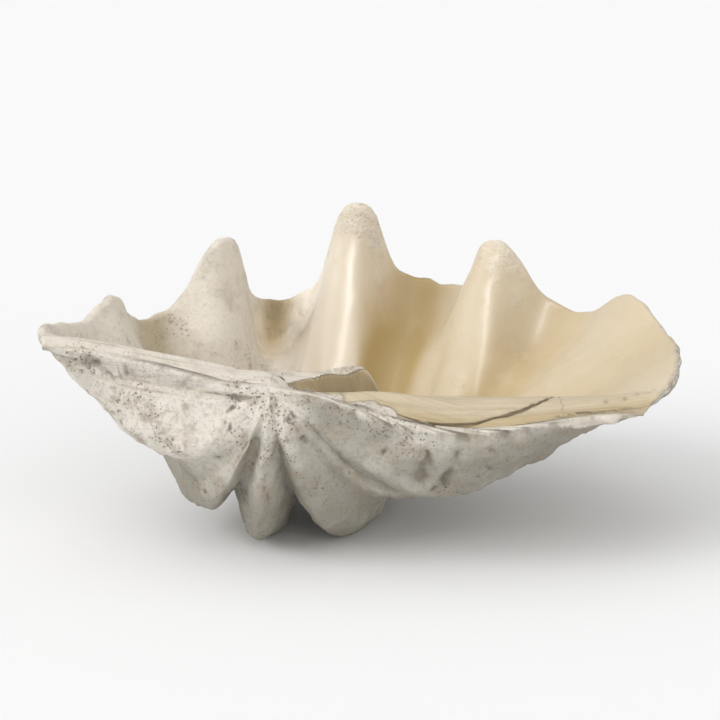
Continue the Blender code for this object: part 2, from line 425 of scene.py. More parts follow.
@dataclass(frozen=True)
class HingePlate:
    """The plate over the beak's end of the hollow, with its tooth, socket and groove."""

    # Place along the hinge, distance of the crest behind the hinge line, height
    crest: Table = (
        (-0.215, 0.012, 0.036),
        (-0.180, 0.016, 0.033),
        (-0.112, 0.024, 0.022),
        (-0.037, 0.028, 0.012),
        (0.000, 0.027, 0.009),
        (0.025, 0.024, -0.0065),
        (0.050, 0.026, -0.0045),
        (0.086, 0.032, 0.0005),
        (0.181, 0.064, -0.002),
        (0.250, 0.060, 0.002),
        (0.330, 0.040, 0.008),
        (0.380, 0.020, 0.014),
    )
    back_slope: float = 1.7
    back_round: float = 0.014
    wall_ridges: float = 0.9
    # Place along the hinge, place across it, depth, half width
    groove: Table = (
        (0.120, -0.008, 0.0000, 0.0004),
        (0.140, -0.0135, 0.0030, 0.0018),
        (0.160, -0.0145, 0.0060, 0.0030),
        (0.180, -0.011, 0.0070, 0.0034),
        (0.200, -0.005, 0.0070, 0.0035),
        (0.218, 0.003, 0.0070, 0.0034),
        (0.238, 0.014, 0.0065, 0.0030),
        (0.258, 0.031, 0.0055, 0.0024),
        (0.276, 0.052, 0.0000, 0.0003),
    )
    fine_groove: Table = (
        (0.100, -0.004, 0.0000, 0.0015),
        (0.120, -0.0055, 0.0012, 0.0015),
        (0.160, 0.001, 0.0015, 0.0015),
        (0.199, 0.0095, 0.0010, 0.0015),
        (0.215, 0.015, 0.0000, 0.0015),
    )
    # Place along the hinge, then place across and height of the top's front and back edges
    tooth: Table = (
        (-0.030, 0.006, 0.0050, 0.028, 0.0095),
        (0.000, 0.014, 0.0062, 0.036, 0.0105),
        (0.019, 0.0235, 0.0058, 0.045, 0.0110),
        (0.050, 0.042, 0.0080, 0.056, 0.0118),
        (0.084, 0.062, 0.0115, 0.067, 0.0125),
    )
    tooth_slope: float = 1.5
    tooth_front_slope: float = 2.6
    tooth_end_slope: float = 1.9
    tooth_end_round: float = 0.012
    socket: tuple[Point, Point] = ((0.000, 0.034, -0.012), (0.085, 0.046, -0.014))
    socket_slope: float = 1.5
    plate_blend: float = 0.010
    hinge_blend: float = 0.0025
    tooth_blend: float = 0.0020
    tooth_uneven: float = 0.0009
    strand_height: float = 0.0012
    groove_step: float = 0.002
    # Distances behind the hinge line over which the plate's blend widens
    blend_reach: float = 0.05
    # How far the plate has to stand over the hollow's sheet, and the tooth over the plate
    plate_band: Band = (-0.012, 0.0)
    plate_fade: float = 0.012
    blade_band: Band = (-0.004, 0.0)
    proud_band: Band = (-0.002, 0.002)
    # The tooth's front face, darkened as brown and as painted shade: behind its front edge, and
    # along the hinge; then its chalky top
    face_edge: float = 0.0012
    face_band: Band = (0.004, 0.022)
    top_band: Band = (0.008, 0.001)
    top_end: Band = (0.094, 0.080)

    def cut(self, table: Table, x: Array, y: Array) -> Array:
        """Depth of a groove: its own depth times a bell of the distance across it."""
        off = (y - through(table, 1, x)) / through(table, 3, x)
        return through(table, 2, x) * bell(off)

    def across_groove(self, x: Array, y: Array) -> Array:
        """Signed distance from the deep groove's line, in its own half widths.

        The distance across the hinge is shortened by the line's slope there.

        Args:
            x: Places along the hinge.
            y: Places across it.

        Returns:
            The distances, no farther than FAR_OFF, which they all are past the groove's ends.
        """
        step = self.groove_step
        slope = (through(self.groove, 1, x + step) - through(self.groove, 1, x - step)) / (2 * step)
        off = (y - through(self.groove, 1, x)) / np.hypot(1, slope)
        past = (x < self.groove[0][0]) | (x > self.groove[-1][0])
        off = np.clip(off / through(self.groove, 3, x), -FAR_OFF, FAR_OFF)
        return np.where(past, FAR_OFF, off)

    def height(self, x: Array, y: Array, front: Array, foot: Array, ridges: Array) -> Array:
        """Height of the plate.

        It rises from the hinge line's foot by 1 - (1 - u)^2, with u the share of the way to the
        crest. Behind the crest it falls along a hyperbola, sooner between the ridges.

        Args:
            x: Places along the hinge.
            y: Places across it.
            front: The hinge line's own place across.
            foot: The hinge line's height.
            ridges: How far the hollow's ridges stand out.

        Returns:
            Heights.
        """
        reach = through(self.crest, 1, x)
        rise = 1 - (1 - np.clip((y - front) / reach, 0, 1)) ** 2
        behind = np.maximum(0, y - front - reach)
        behind = behind - self.wall_ridges * ridges * ease(0, 0.04, behind)
        fall = self.back_slope * (np.hypot(behind, self.back_round) - self.back_round)
        return mix(foot, through(self.crest, 2, x), rise) - fall

    def floor(self, x: Array, y: Array) -> Array:
        """Height of the socket's floor: that of its line, falling with the distance from it.

        Args:
            x: Places along the hinge.
            y: Places across it.

        Returns:
            Heights.
        """
        root, tip = np.array(self.socket[0]), np.array(self.socket[1])
        along = tip - root
        length = math.hypot(along[0], along[1])
        share = ((x - root[0]) * along[0] + (y - root[1]) * along[1]) / length**2
        share = np.clip(share, 0, 1)
        away = np.hypot(x - root[0] - share * along[0], y - root[1] - share * along[1])
        return root[2] + share * along[2] - self.socket_slope * away

    def blade(self, x: Array, y: Array) -> tuple[Array, Array]:
        """The tooth: a slanting, uneven top between two edges, falling away on all sides.

        Args:
            x: Places along the hinge.
            y: Places across it.

        Returns:
            Heights, and distances behind the top's front edge.
        """
        front, back = through(self.tooth, 1, x), through(self.tooth, 3, x)
        share = np.clip((y - front) / (back - front), 0, 1)
        top = mix(through(self.tooth, 2, x), through(self.tooth, 4, x), share)
        top = top + self.tooth_uneven * lumps(np.stack([x, y, 0 * x], -1), (0.030, 0.012, 1.0), 13)
        fall = self.tooth_front_slope * np.maximum(front - y, 0)
        fall = fall + self.tooth_slope * np.maximum(y - back, 0)
        past = np.maximum(np.maximum(self.tooth[0][0] - x, x - self.tooth[-1][0]), 0)
        past = np.hypot(past, self.tooth_end_round) - self.tooth_end_round
        return top - fall - self.tooth_end_slope * past, y - front

    def strands(self, x: Array, y: Array) -> Array:
        """Fine strands along the plate: lumps drawn out along the hinge line.

        Args:
            x: Places along the hinge.
            y: Places across it.

        Returns:
            Heights above the plate.
        """
        flat = np.stack([x, y - LONG_SLANT * x, 0 * x], -1)
        broad = lumps(flat, (0.16, 0.011, 1.0), 11)
        fine = lumps(flat, (0.10, 0.0045, 1.0), 12)
        return self.strand_height * (0.7 * broad + 0.4 * fine)

    def cover(
        self, points: Array, front: Array, foot: Array, ridges: Array
    ) -> tuple[Array, Array, Array, Array]:
        """Lifts the hollow's sheet to the plate, the socket's floor and the tooth.

        Args:
            points: The hollow's sheet.
            front: The hinge line's place across, at each point.
            foot: The hinge line's height, at each point.
            ridges: As in height.

        Returns:
            The new heights, a mask that is 1 on the plate and 0 in the hollow, and masks of
            the tooth's front face and of its top.
        """
        x, y, z = points[..., 0], points[..., 1], points[..., 2]
        behind_line = y - front
        blend = mix(self.hinge_blend, self.plate_blend, ease(0, self.blend_reach, behind_line))
        plate = self.height(x, y, front, foot, ridges)
        lifted = soft_max(z, plate, blend)
        blade, behind = self.blade(x, y)
        lifted = soft_max(lifted, self.floor(x, y), self.tooth_blend)
        proud = ease(*self.proud_band, blade - lifted)
        face = proud * ease(self.face_edge, -self.face_edge, behind) * ease(*self.face_band, x)
        top = proud * ease(*self.top_band, y - through(self.tooth, 3, x)) * (1 - face)
        lifted = soft_max(lifted, blade, self.tooth_blend)
        on_plate = ease(*self.plate_band, plate - z)
        on_plate = on_plate * ease(self.plate_fade, 0, behind_line - through(self.crest, 1, x))
        on_blade = ease(*self.blade_band, blade - lifted) * ease(-0.05, 0, x)
        on_plate = np.maximum(on_plate, on_blade)
        lifted = lifted - self.cut(self.groove, x, y) - self.cut(self.fine_groove, x, y)
        lifted = lifted + self.strands(x, y) * on_plate
        return lifted, on_plate, face, top * ease(*self.top_end, x)


@dataclass(frozen=True)
class Weathering:
    """What the sea did to the outside and the marks that growing left on it, with painted shade in
    its grime and painted light in its paleness.
    """

    # The lumps' widths, heights and patterns
    lump_sizes: tuple[tuple[float, float, int], ...] = (
        (0.070, 0.0014, 21),
        (0.030, 0.0010, 22),
        (0.013, 0.00055, 23),
        (0.007, 0.00040, 24),
    )
    halts: float = 13.0
    fine_halts: float = 4.3
    halt_height: float = 0.0006
    edge_halt_height: float = 0.0020
    # Angles and growth shares between which the halts stand up as broken layers
    layered_angles: Band = (6, 20)
    layered_growth: Band = (0.62, 0.85)
    pit_count: int = 260
    pits_in_cluster: int = 45
    pit_width: float = 0.0011
    pit_spread: float = 0.0022
    # Place along the hinge, where the lip ends below the hinge line, where the ledge is
    lunule: Table = (
        (-0.200, 0.005, 0.030),
        (-0.175, 0.006, 0.036),
        (-0.150, 0.008, 0.036),
        (-0.113, 0.010, 0.028),
        (-0.080, 0.008, 0.019),
        (-0.030, 0.006, 0.013),
        (0.000, 0.004, 0.009),
    )
    lunule_bands: tuple[Band, Band] = ((0.0, 0.030), (0.190, 0.212))
    lunule_depth: float = 0.0050
    undercut_depth: float = 0.0038
    undercut_below: float = 0.002
    undercut_width: float = 0.0022
    fibre_height: float = 0.0009
    # The broken edge where the long side's plate meets the outside
    ragged_depth: float = 0.0030
    ragged_below: float = 0.002
    ragged_width: float = 0.004
    ragged_band: Band = (0.04, 0.09)
    # Grooves worn or broken into the outside
    furrows: tuple[Trace, ...] = (
        (
            0.0055,
            0.0050,
            ((0.151, -0.019, -0.038), (0.150, -0.012, -0.055), (0.147, -0.001, -0.079)),
        ),
        (
            0.0055,
            0.0045,
            ((0.176, -0.016, -0.042), (0.174, -0.005, -0.060), (0.169, 0.006, -0.079)),
        ),
        (0.0040, 0.0030, ((0.209, -0.015, -0.035), (0.2115, -0.006, -0.045))),
        (0.0060, 0.0060, ((-0.175, 0.010, 0.005), (-0.166, 0.005, 0.008))),
        (0.0050, 0.0040, ((-0.1545, 0.006, 0.000), (-0.1525, 0.006, -0.001))),
        (0.0045, 0.0032, ((-0.1445, 0.005, 0.002), (-0.132, 0.0045, 0.006))),
    )
    # Clusters of pits: centre and reach
    clusters: tuple[tuple[Point, float], ...] = (
        ((-0.027, 0.000, -0.010), 0.010),
        ((-0.002, -0.006, -0.016), 0.014),
        ((0.002, -0.010, -0.030), 0.016),
        ((0.100, -0.012, -0.012), 0.022),
        ((0.140, -0.018, -0.020), 0.020),
        ((-0.145, 0.015, -0.034), 0.018),
        ((-0.175, 0.010, 0.006), 0.020),
    )

    def halt_lines(self, points: Array, growth: Array, angle: Array) -> Array:
        """Steps where growth halted: a saw over the growth share, wavering a little.

        They are low on the ribs and stand up as broken layers beside the long side's hinge. A
        finer saw of a quarter of the height runs along with it.

        Args:
            points: The plain outside.
            growth: Growth shares.
            angle: Angles round the beak.

        Returns:
            The relief.
        """
        wavering = growth + 0.006 * lumps(points, 0.05, 31) + 0.002 * lumps(points, 0.012, 32)
        saw = (wavering * self.halts) % 1.0
        step = ease(0, 0.82, saw) - ease(0.82, 1.0, saw)
        layered = 1 - ease(*self.layered_angles, angle)
        layered = layered * ease(*self.layered_growth, growth)
        height = mix(self.halt_height, self.edge_halt_height, layered)
        fine = (wavering * self.halts * self.fine_halts) % 1.0
        fine_step = ease(0, 0.8, fine) - ease(0.8, 1, fine)
        return height * (step - 0.5) + 0.25 * height * (fine_step - 0.5)

    def lunule_relief(self, x: Array, below: Array) -> tuple[Array, Array]:
        """The hollowed strip under the short side's lip.

        Args:
            x: Places along the hinge.
            below: Distances down the wall from the hinge line.

        Returns:
            The relief, and a mask of the strip.
        """
        lip = through(self.lunule, 1, x)
        ledge = through(self.lunule, 2, x)
        along = hump(*self.lunule_bands, -x)
        strip = ease(0, 0.0025, below - lip) * (1 - ease(-0.003, 0.0005, below - ledge)) * along
        undercut = bell((below - lip - self.undercut_below) / self.undercut_width) * along
        return -self.lunule_depth * strip - self.undercut_depth * undercut, strip

    def pits(self, points: Array) -> Array:
        """Small bores and dents: the deepest of many bells, more of them in the clusters.

        Args:
            points: The outside, shifted so that the pits aren't round.

        Returns:
            How deep each place lies.
        """
        chance = np.random.default_rng(41)
        flat = points.reshape(-1, 3)
        middle = flat[chance.integers(0, len(flat), self.pit_count)]
        for centre, reach in self.clusters:
            spots = chance.normal(centre, reach / 1.6, (self.pits_in_cluster, 3))
            middle = np.vstack([middle, spots])
        width = self.pit_width + self.pit_spread * chance.uniform(0, 1, len(middle)) ** 3
        depth = width * chance.uniform(0.5, 1.0, len(middle))
        deepest = np.zeros(len(flat))
        for at, across, down in zip(middle, width, depth):
            close = np.abs(flat[:, 0] - at[0]) < 3 * across
            away = np.linalg.norm(flat[close] - at, axis=1)
            deepest[close] = np.maximum(deepest[close], down * bell(away / across))
        return deepest.reshape(points.shape[:-1])

    def crowding(self, points: Array) -> Array:
        """How crowded the fine pits are: a bell round the centre of each cluster."""
        spots = [near_path(points, (centre,), 1.3 * reach) for centre, reach in self.clusters]
        return np.max(spots, axis=0)

    def bleach_and_painted_light(self, growth: Array, angle: Array, inward: Array) -> Array:
        """Where the outside is paler: bleached at the beak, painted light on what faces up, and the
        short side partly bleached and partly painted light.

        Args:
            growth: Growth shares.
            angle: Angles round the beak.
            inward: Unit normals that point into the wall.

        Returns:
            The sum of the three, from 0 to 1.
        """
        # The short side is paler: partly bleached, partly painted light from the lamp on the left
        short = ease(112, 150, angle)
        # Painted light: faces that look up are paler
        upward = ease(-0.85, 0.05, -inward[..., 2])
        beak = 1 - ease(0.02, 0.16, growth)
        return np.clip(0.62 * short + 0.35 * upward + 0.45 * beak, 0, 1)

    def relief(
        self, points: Array, growth: Array, angle: Array, from_short: Array, from_long: Array
    ) -> tuple[Array, Array, Array]:
        """How far the outside stands out or in, how dark it is with grime and painted shade, and
        how fibrous it is.

        Args:
            points: The plain outside.
            growth: Growth shares.
            angle: Angles round the beak.
            from_short: Distances down the wall from the short side's hinge line.
            from_long: Distances down the wall from the long side's hinge line.

        Returns:
            The relief, outward positive, and the grime with painted shade and the fibrous strip,
            from 0 to 1.
        """
        x = points[..., 0]
        relief = sum(height * lumps(points, size, seed) for size, height, seed in self.lump_sizes)
        relief = relief + self.halt_lines(points, growth, angle)
        strip_relief, strip = self.lunule_relief(x, from_short)
        fibres = np.stack([x * 0.35, from_short + SHORT_SLANT * x, 0 * x], -1)
        relief = relief + strip_relief + self.fibre_height * lumps(fibres, 0.0055, 33) * strip
        moved = warped(points, 0.009, (35, 36, 37), 0.0016)
        bores = self.pits(moved)
        cuts = bores
        for depth, width, path in self.furrows:
            cuts = np.maximum(cuts, depth * near_path(moved, path, width))
        ragged = bell((from_long - self.ragged_below) / self.ragged_width)
        ragged = ragged * np.clip(lumps(points, 0.009, 34), 0, 2) * ease(*self.ragged_band, x)
        relief = relief - self.ragged_depth * ragged
        # Pits and furrows darken with their depth: dirt in them, and painted shade
        in_bores = 0.9 * ease(0.0006, 0.0024, bores)
        in_cuts = 0.55 * ease(0.0015, 0.0045, cuts)
        # Painted shade in the undercut under the short side's lip, where the strip lies deepest
        grime_and_shade = np.maximum(in_bores, in_cuts) + 0.25 * ease(0.006, 0.012, -strip_relief)
        # Dirt and painted shade in the broken groove beside the long side's hinge line
        grime_and_shade = grime_and_shade + 0.60 * ragged
        settle = ease(0, 0.06, growth)
        return (relief - cuts) * settle, np.clip(grime_and_shade, 0, 1), strip


@dataclass(frozen=True)
class Patina:
    """Where the hollow is gold, where it is worn chalky, and its stains and cracks; some of the
    gold is painted shadow, some of the paleness painted light.
    """

    # Angle, reach in angle, strength, strength at the rim
    gold_valleys: Table = (
        # The first row is also painted shadow that the tallest ridge casts on the valley right of
        # it; the last two rows darken the long side's wall, partly as painted shade
        (69.0, 5.2, 1.50, 1.00),
        (92.0, 4.5, 0.02, 0.78),
        (121.0, 9.0, 0.72, 0.60),
        (47.0, 7.0, 0.62, 0.46),
        (22.0, 16.0, 0.40, 0.40),
    )
    # The chalky side starts over the tallest ridge's left flank, where its paleness is partly
    # painted light
    chalky_and_lit_from: float = 80.0
    chalky_and_lit_to: float = 104.0
    # Strengths, widths and paths
    stains: tuple[Trace, ...] = (
        (0.9, 0.0020, ((0.138, 0.3426, -0.0576),)),
        (0.35, 0.0120, ((-0.009, 0.3715, -0.013), (0.009, 0.3725, -0.024))),
        (0.5, 0.0040, ((0.046, 0.046, 0.005), (0.060, 0.047, 0.000))),
    )
    # Depths, widths and paths
    cracks: tuple[Trace, ...] = (
        (0.0030, 0.0018, ((0.288, -0.005, 0.001), (0.309, -0.001, 0.004), (0.328, 0.003, 0.007))),
        (0.0030, 0.0018, ((0.322, 0.013, 0.007), (0.335, 0.013, 0.009), (0.355, 0.023, 0.015))),
        (0.0025, 0.0018, ((0.302, 0.019, 0.006), (0.341, 0.030, 0.014), (0.360, 0.034, 0.019))),
        (0.0020, 0.0016, ((0.340, 0.005, 0.009), (0.362, 0.018, 0.015))),
    )

    def gold(self, growth: Array, angle: Array) -> Array:
        """Gold in the valleys between the ridges, deeper down more so, with painted shade in some
        of them.

        It is a faint wash that grows to the long side, and a bell of the angle for each valley. The
        valley right of the tallest ridge is also painted shadow of that ridge, and the long side's
        wall is darkened as painted shade.

        Args:
            growth: Growth shares.
            angle: Angles round the beak.

        Returns:
            The strength.
        """
        strength = 0.25 * (1 - ease(0.5, 0.9, growth)) * ease(180, 60, angle)
        late = ease(0.84, 0.97, growth)
        for centre, reach, share, at_rim in self.gold_valleys:
            strength = strength + mix(share, at_rim, late) * bell((angle - centre) / reach)
        return strength

    def worn(self, points: Array, growth: Array, angle: Array, ridges: Array) -> Array:
        """Chalky on the short side and at the rim of the other fingers; the short side's edge lies
        over the tallest ridge's left flank, where its paleness is partly painted light.

        Args:
            points: The hollow.
            growth: Growth shares.
            angle: Angles round the beak.
            ridges: How far the hollow's ridges stand out.

        Returns:
            How worn each place is, from 0 to 1.
        """
        wavering = 3.0 * lumps(points, 0.030, 71)
        side = ease(self.chalky_and_lit_from, self.chalky_and_lit_to, angle + wavering)
        tips = ease(0.90, 1.0, growth + 0.020 * lumps(points, 0.016, 72))
        return np.maximum(side, 0.40 * tips * ease(0.012, 0.035, ridges) * ease(30, 60, angle))

    def broken_edge(self, points: Array, behind: Array) -> Array:
        """Where the long side's front edge has broken away: nearer to it than a wavering line.

        Args:
            points: The hollow and the plate.
            behind: Distances behind the hinge line.

        Returns:
            1 where it is broken and 0 elsewhere.
        """
        x = points[..., 0]
        reach = 0.003 + 0.011 * ease(0.24, 0.33, x)
        reach = reach + 0.0035 * lumps(points, 0.014, 76) + 0.0015 * lumps(points, 0.005, 77)
        return ease(0.001, -0.001, behind - reach) * ease(0.22, 0.27, x)

    def over_plate(
        self, points: Array, x: Array, behind: Array, face: Array, top: Array, broken: Array
    ) -> tuple[Array, Array]:
        """How worn and how gold the plate is.

        The short side, the tooth's top and a strip behind the hinge line are chalky. The strip
        is broad beside the beak and narrows to the long side.

        Args:
            points: The hollow and the plate.
            x: Places along the hinge.
            behind: Distances behind the hinge line.
            face: Mask of the tooth's front face.
            top: Mask of the tooth's top.
            broken: Mask of the broken edge.

        Returns:
            The wear and the gold, from 0 to 1.
        """
        worn = np.maximum(ease(0.030, -0.020, x + 0.006 * lumps(points, 0.02, 63)), top)
        worn = worn * (1 - face)
        bare = mix(0.040, 0.011, ease(0.010, 0.085, x)) - 0.013 * ease(0.12, 0.19, x)
        off = behind + 0.003 * lumps(points, 0.012, 64)
        edge = ease(0.005, -0.005, off - bare) * (1 - face)
        worn = np.maximum(np.maximum(worn, edge), 0.6 * broken)
        strip = ease(0.05, 0.12, x) * ease(0.034, 0.010, behind)
        gold = (0.30 + 0.35 * strip) * ease(-0.01, 0.04, x) * (1 - 0.8 * edge)
        return worn, gold

    def marks(self, points: Array) -> tuple[Array, Array]:
        """The cracks and stains: the strongest of the bells round their wavering paths.

        Args:
            points: The hollow and the plate.

        Returns:
            The cracks' depth, and the darkening in cracks, dirt and painted shade, and in stains,
            from 0 to 1.
        """
        moved = warped(points, 0.010, (73, 74, 75), 0.0022)
        depth = 0 * points[..., 0]
        for deep, width, path in self.cracks:
            depth = np.maximum(depth, deep * near_path(moved, path, width))
        # Cracks darken with their depth: dirt in them, and painted shade
        dirt_and_shade = 0.8 * ease(0.0004, 0.0024, depth)
        for strength, width, path in self.stains:
            dirt_and_shade = np.maximum(dirt_and_shade, strength * near_path(moved, path, width))
        return depth, dirt_and_shade


@dataclass(frozen=True)
class Placement:
    """How the valve lies: rolled to the long side, on its worn ribs."""

    roll: float = 4.5
    beak: Point = (-0.0913, -0.1905, 0.1786)

    def lay(self, points: Array) -> Array:
        """Turns points about +Y, carries the beak to its place and flattens what is underground.

        Args:
            points: Places measured from the beak.

        Returns:
            Places in the part's frame.
        """
        roll = math.radians(self.roll)
        x = points[..., 0] * math.cos(roll) + points[..., 2] * math.sin(roll) + self.beak[0]
        z = points[..., 2] * math.cos(roll) - points[..., 0] * math.sin(roll) + self.beak[2]
        return np.stack([x, points[..., 1] + self.beak[1], np.maximum(z, 0)], -1)


@dataclass(frozen=True)
class Chalk:
    """The weathered outside: matt, dusty, pitted."""

    # light and grey are partly lit and shaded copies of one chalk: light where it is bleached and
    # where painted light falls, grey in painted shade
    light: Colour = (0.88, 0.82, 0.725)
    grey: Colour = (0.40, 0.375, 0.315)
    warm: Colour = (0.42, 0.34, 0.25)
    # grime is the dark of dirt, and of painted shade in pits, furrows and under the lip
    grime_and_shade: Colour = (0.16, 0.12, 0.08)
    roughness: float = 0.88


@dataclass(frozen=True)
class Porcelain:
    """The hollow: dense, smooth and cream, gold where it is deepest, the gold darkened in part as
    painted shadow.
    """

    cream: Colour = (0.64, 0.545, 0.40)
    # pale is worn chalk, and painted light on the hollow's left
    pale: Colour = (0.87, 0.80, 0.69)
    # gold is dark enough to stand in part for the shadow in the deepest valley: painted shadow
    gold: Colour = (0.42, 0.30, 0.115)
    # the dark of the deep groove on the plate
    grime_and_shade: Colour = (0.17, 0.12, 0.06)
    streak: Colour = (0.40, 0.30, 0.17)
    polished: float = 0.33
    coat: float = 0.18
    coat_roughness: float = 0.22


@dataclass
class Valve:
    """The whole valve as one closed mesh."""

    name: str = "clam_shell_valve"
    node: str = "clam_shell"
    slot: str = "shell"
    growth: Growth = field(default_factory=Growth)
    plate: HingePlate = field(default_factory=HingePlate)
    weathering: Weathering = field(default_factory=Weathering)
    patina: Patina = field(default_factory=Patina)
    placement: Placement = field(default_factory=Placement)
    growth_lines: int = 176
    spokes: int = 262
    lip_steps: int = 8
    rim_wall: float = 0.012
    belly_wall: float = 0.014
    beak_wall: float = 0.010
    inner_folds_at_beak: float = 0.10
    smooth_folds: float = 0.35
    least_wall: float = 0.55
    wall_round: float = 0.003
    hinge_edge: float = 0.004
    hinge_fade: float = 0.004
    broken_depth: float = 0.0030
    plate_share: float = 0.42
    plate_closer: float = 2.6
    ragged_edge: float = 0.018
    ragged_rim: float = 0.0035
    worn_beak: float = 0.35

    def rim_closeness(self, angle: Array) -> Array:
        """Spokes stand closer at the hinge and a little closer at the fingers.

        Args:
            angle: Angles round the beak.

        Returns:
            The closeness that spaced takes.
        """
        closeness = 1.0 + 1.6 * (np.exp(-angle / 5) + np.exp(-(180 - angle) / 5))
        for finger in self.growth.fingers:
            closeness = closeness + 0.7 * bell((angle - finger.at_rim) / 6)
        return closeness

    def plate_closeness(self, angle: Array) -> Array:
        """Over the plate spokes stand closer at the hinge line alone."""
        return 1.0 + 3.0 * np.exp(-angle / 6) + 1.5 * np.exp(-(180 - angle) / 6)

    def inside_closeness(self, growth: Array) -> Array:
        """Growth lines stand closer over the plate."""
        over = 1 - ease(self.plate_share - 0.05, self.plate_share + 0.1, growth)
        return 1 + (self.plate_closer - 1) * over

    def rim_bite(self, angle: Array) -> Array:
        """Scales growth so that the rim is a little uneven: small lumps over the angle.

        Args:
            angle: Angles round the beak.

        Returns:
            The share of the full growth at each.
        """
        place = np.stack([angle / 60, 0 * angle, 0 * angle], -1)
        uneven = lumps(place, 0.10, 51) * 0.6 + lumps(place, 0.035, 52) * 0.4
        return 1 - self.ragged_rim * (0.6 + uneven)

    def outer_strength(self, growth: Array) -> Array:
        """The outside's folds are worn faint at the beak."""
        return mix(self.worn_beak, 1, ease(0.02, 0.16, growth))

    def outside(self) -> tuple[Array, Array, dict[str, Array]]:
        """The outside with its relief.

        Returns:
            The plain surface, the worn surface and its masks.
        """
        share = np.linspace(0, 1, self.growth_lines)[:, None]
        angle = spaced(0, 180, self.spokes, self.rim_closeness)[None, :]
        growth = share * mix(1, self.rim_bite(angle), ease(0.8, 1, share))
        plain = self.growth.surface(growth, angle, self.outer_strength(growth))
        inward = grid_normals(plain)
        steps = np.linalg.norm(np.diff(plain, axis=1), axis=-1)
        zero = np.zeros((self.growth_lines, 1))
        from_long = np.hstack([zero, np.cumsum(steps, axis=1)])
        from_short = from_long[:, -1:] - from_long
        relief, grime_and_shade, fibrous = self.weathering.relief(
            plain, growth, angle, from_short, from_long
        )
        hinge_fade = ease(0, self.hinge_fade, from_long) * ease(0, self.hinge_fade, from_short)
        rim_fade = 1 - 0.5 * ease(0.95, 1, share)
        worn = plain - inward * (relief * hinge_fade * rim_fade)[..., None]
        flat = 0 * growth * angle
        # The hollow's finish runs on over the hinge line, and farther at the long side's end
        far = ease(0.23, 0.31, plain[..., 0])
        edge = 0.5 + 0.4 * far - from_long / self.ragged_edge * mix(1, 0.45, far)
        edge = np.clip(edge, 0, 0.9) * ease(0.02, 0.10, growth)
        # Beside the beak the edge itself is paler: bleached, and painted light over the crease's
        # shade along the hinge line
        bare = 0.5 * ease(0.008, 0.001, from_long) * ease(0.14, 0.08, plain[..., 0])
        masks = {
            "inside": flat + edge,
            "growth": flat + growth,
            "spoke": flat + angle / 180,
            "grime_and_shade": flat + grime_and_shade,
            "gold": flat,
            "plate": flat + fibrous,
            "worn": flat + 1,
            "across": flat + FAR_OFF,
            "bleach_and_painted_light": np.clip(self.weathering.bleach_and_painted_light(growth, angle, inward) + bare, 0, 1),
            "fibre": np.minimum(from_short, from_long) + strand_slant(plain[..., 0]),
            "pitted": flat + self.weathering.crowding(plain),
        }
        return plain, worn, masks

    def sheet(self) -> tuple[Array, Array, Array, Array]:
        """The hollow's sheet before the plate lies over it.

        The growth surface with fainter, wider folds is set off by the wall's thickness along
        the normals of a smoother one. Where that leaves less than the least wall, it is pushed
        on inward, rounded as soft_max says.

        Returns:
            Growth shares, angles, the folds' strength and the sheet's points.
        """
        form = self.growth
        share = spaced(0, 1, self.growth_lines, self.inside_closeness)[:, None]
        rim_angle = spaced(0, 180, self.spokes, self.rim_closeness)[None, :]
        plate_angle = spaced(0, 180, self.spokes, self.plate_closeness)[None, :]
        angle = mix(plate_angle, rim_angle, ease(0.3, 0.9, share))
        growth = share * mix(1, self.rim_bite(angle), ease(0.8, 1, share))
        wall = self.rim_wall + self.belly_wall * (1 - growth)
        wall = wall + self.beak_wall * ease(0, 0.5, 0.5 - growth)
        wall = wall * mix(0.15, 1, ease(0, 10, angle) * ease(0, 10, 180 - angle))
        strength = mix(self.inner_folds_at_beak, 1.0, ease(0.25, 0.92, growth))
        sheet = form.surface(growth, angle, strength, Side.INSIDE)
        smooth = self.smooth_folds * ease(0.35, 0.75, growth)
        sheet = sheet + wall[..., None] * grid_normals(form.surface(growth, angle, smooth))
        outside = form.surface(growth, angle, self.outer_strength(growth))
        inward = grid_normals(outside)
        clear = ((sheet - outside) * inward).sum(-1)
        pushed = soft_max(clear, self.least_wall * wall, self.wall_round) - clear
        sheet = sheet + (pushed * ease(0.2, 0.3, growth))[..., None] * inward
        sheet[0] = (sheet[1] + sheet[1, ::-1]) / 2
        sheet[0, :, 0] = 0
        return growth, angle, strength, sheet

    def inside(self, plain: Array) -> tuple[Array, dict[str, Array]]:
        """The hollow, with the hinge plate, its tooth and its socket laid over the sheet.

        Args:
            plain: The plain outside, for its hinge line.

        Returns:
            The surface and its masks.
        """
        growth, angle, strength, sheet = self.sheet()
        hinge = np.concatenate([plain[::-1, -1], plain[1:, 0]])
        x = sheet[..., 0]
        front = np.interp(x, hinge[:, 0], hinge[:, 1])
        foot = np.interp(x, hinge[:, 0], hinge[:, 2])
        sheet[..., 1] = soft_max(sheet[..., 1], front, self.hinge_edge)
        behind = sheet[..., 1] - front
        ridges = self.growth.folds(growth, angle, strength, Side.INSIDE)[0]
        height, on_plate, face, top = self.plate.cover(sheet, front, foot, ridges)
        height[0] = (height[0] + height[0, ::-1]) / 2
        surface = np.stack([x, sheet[..., 1], height], -1)
        uneven = 0.0006 * lumps(surface, 0.045, 61) + 0.0002 * lumps(surface, 0.014, 62)
        fade = ease(0, 0.05, growth) * (1 - on_plate)
        surface = surface + grid_normals(surface) * (uneven * fade)[..., None]

        depth, dirt_and_shade = self.patina.marks(surface)
        broken = self.patina.broken_edge(surface, behind)
        surface[..., 2] -= depth + self.broken_depth * broken
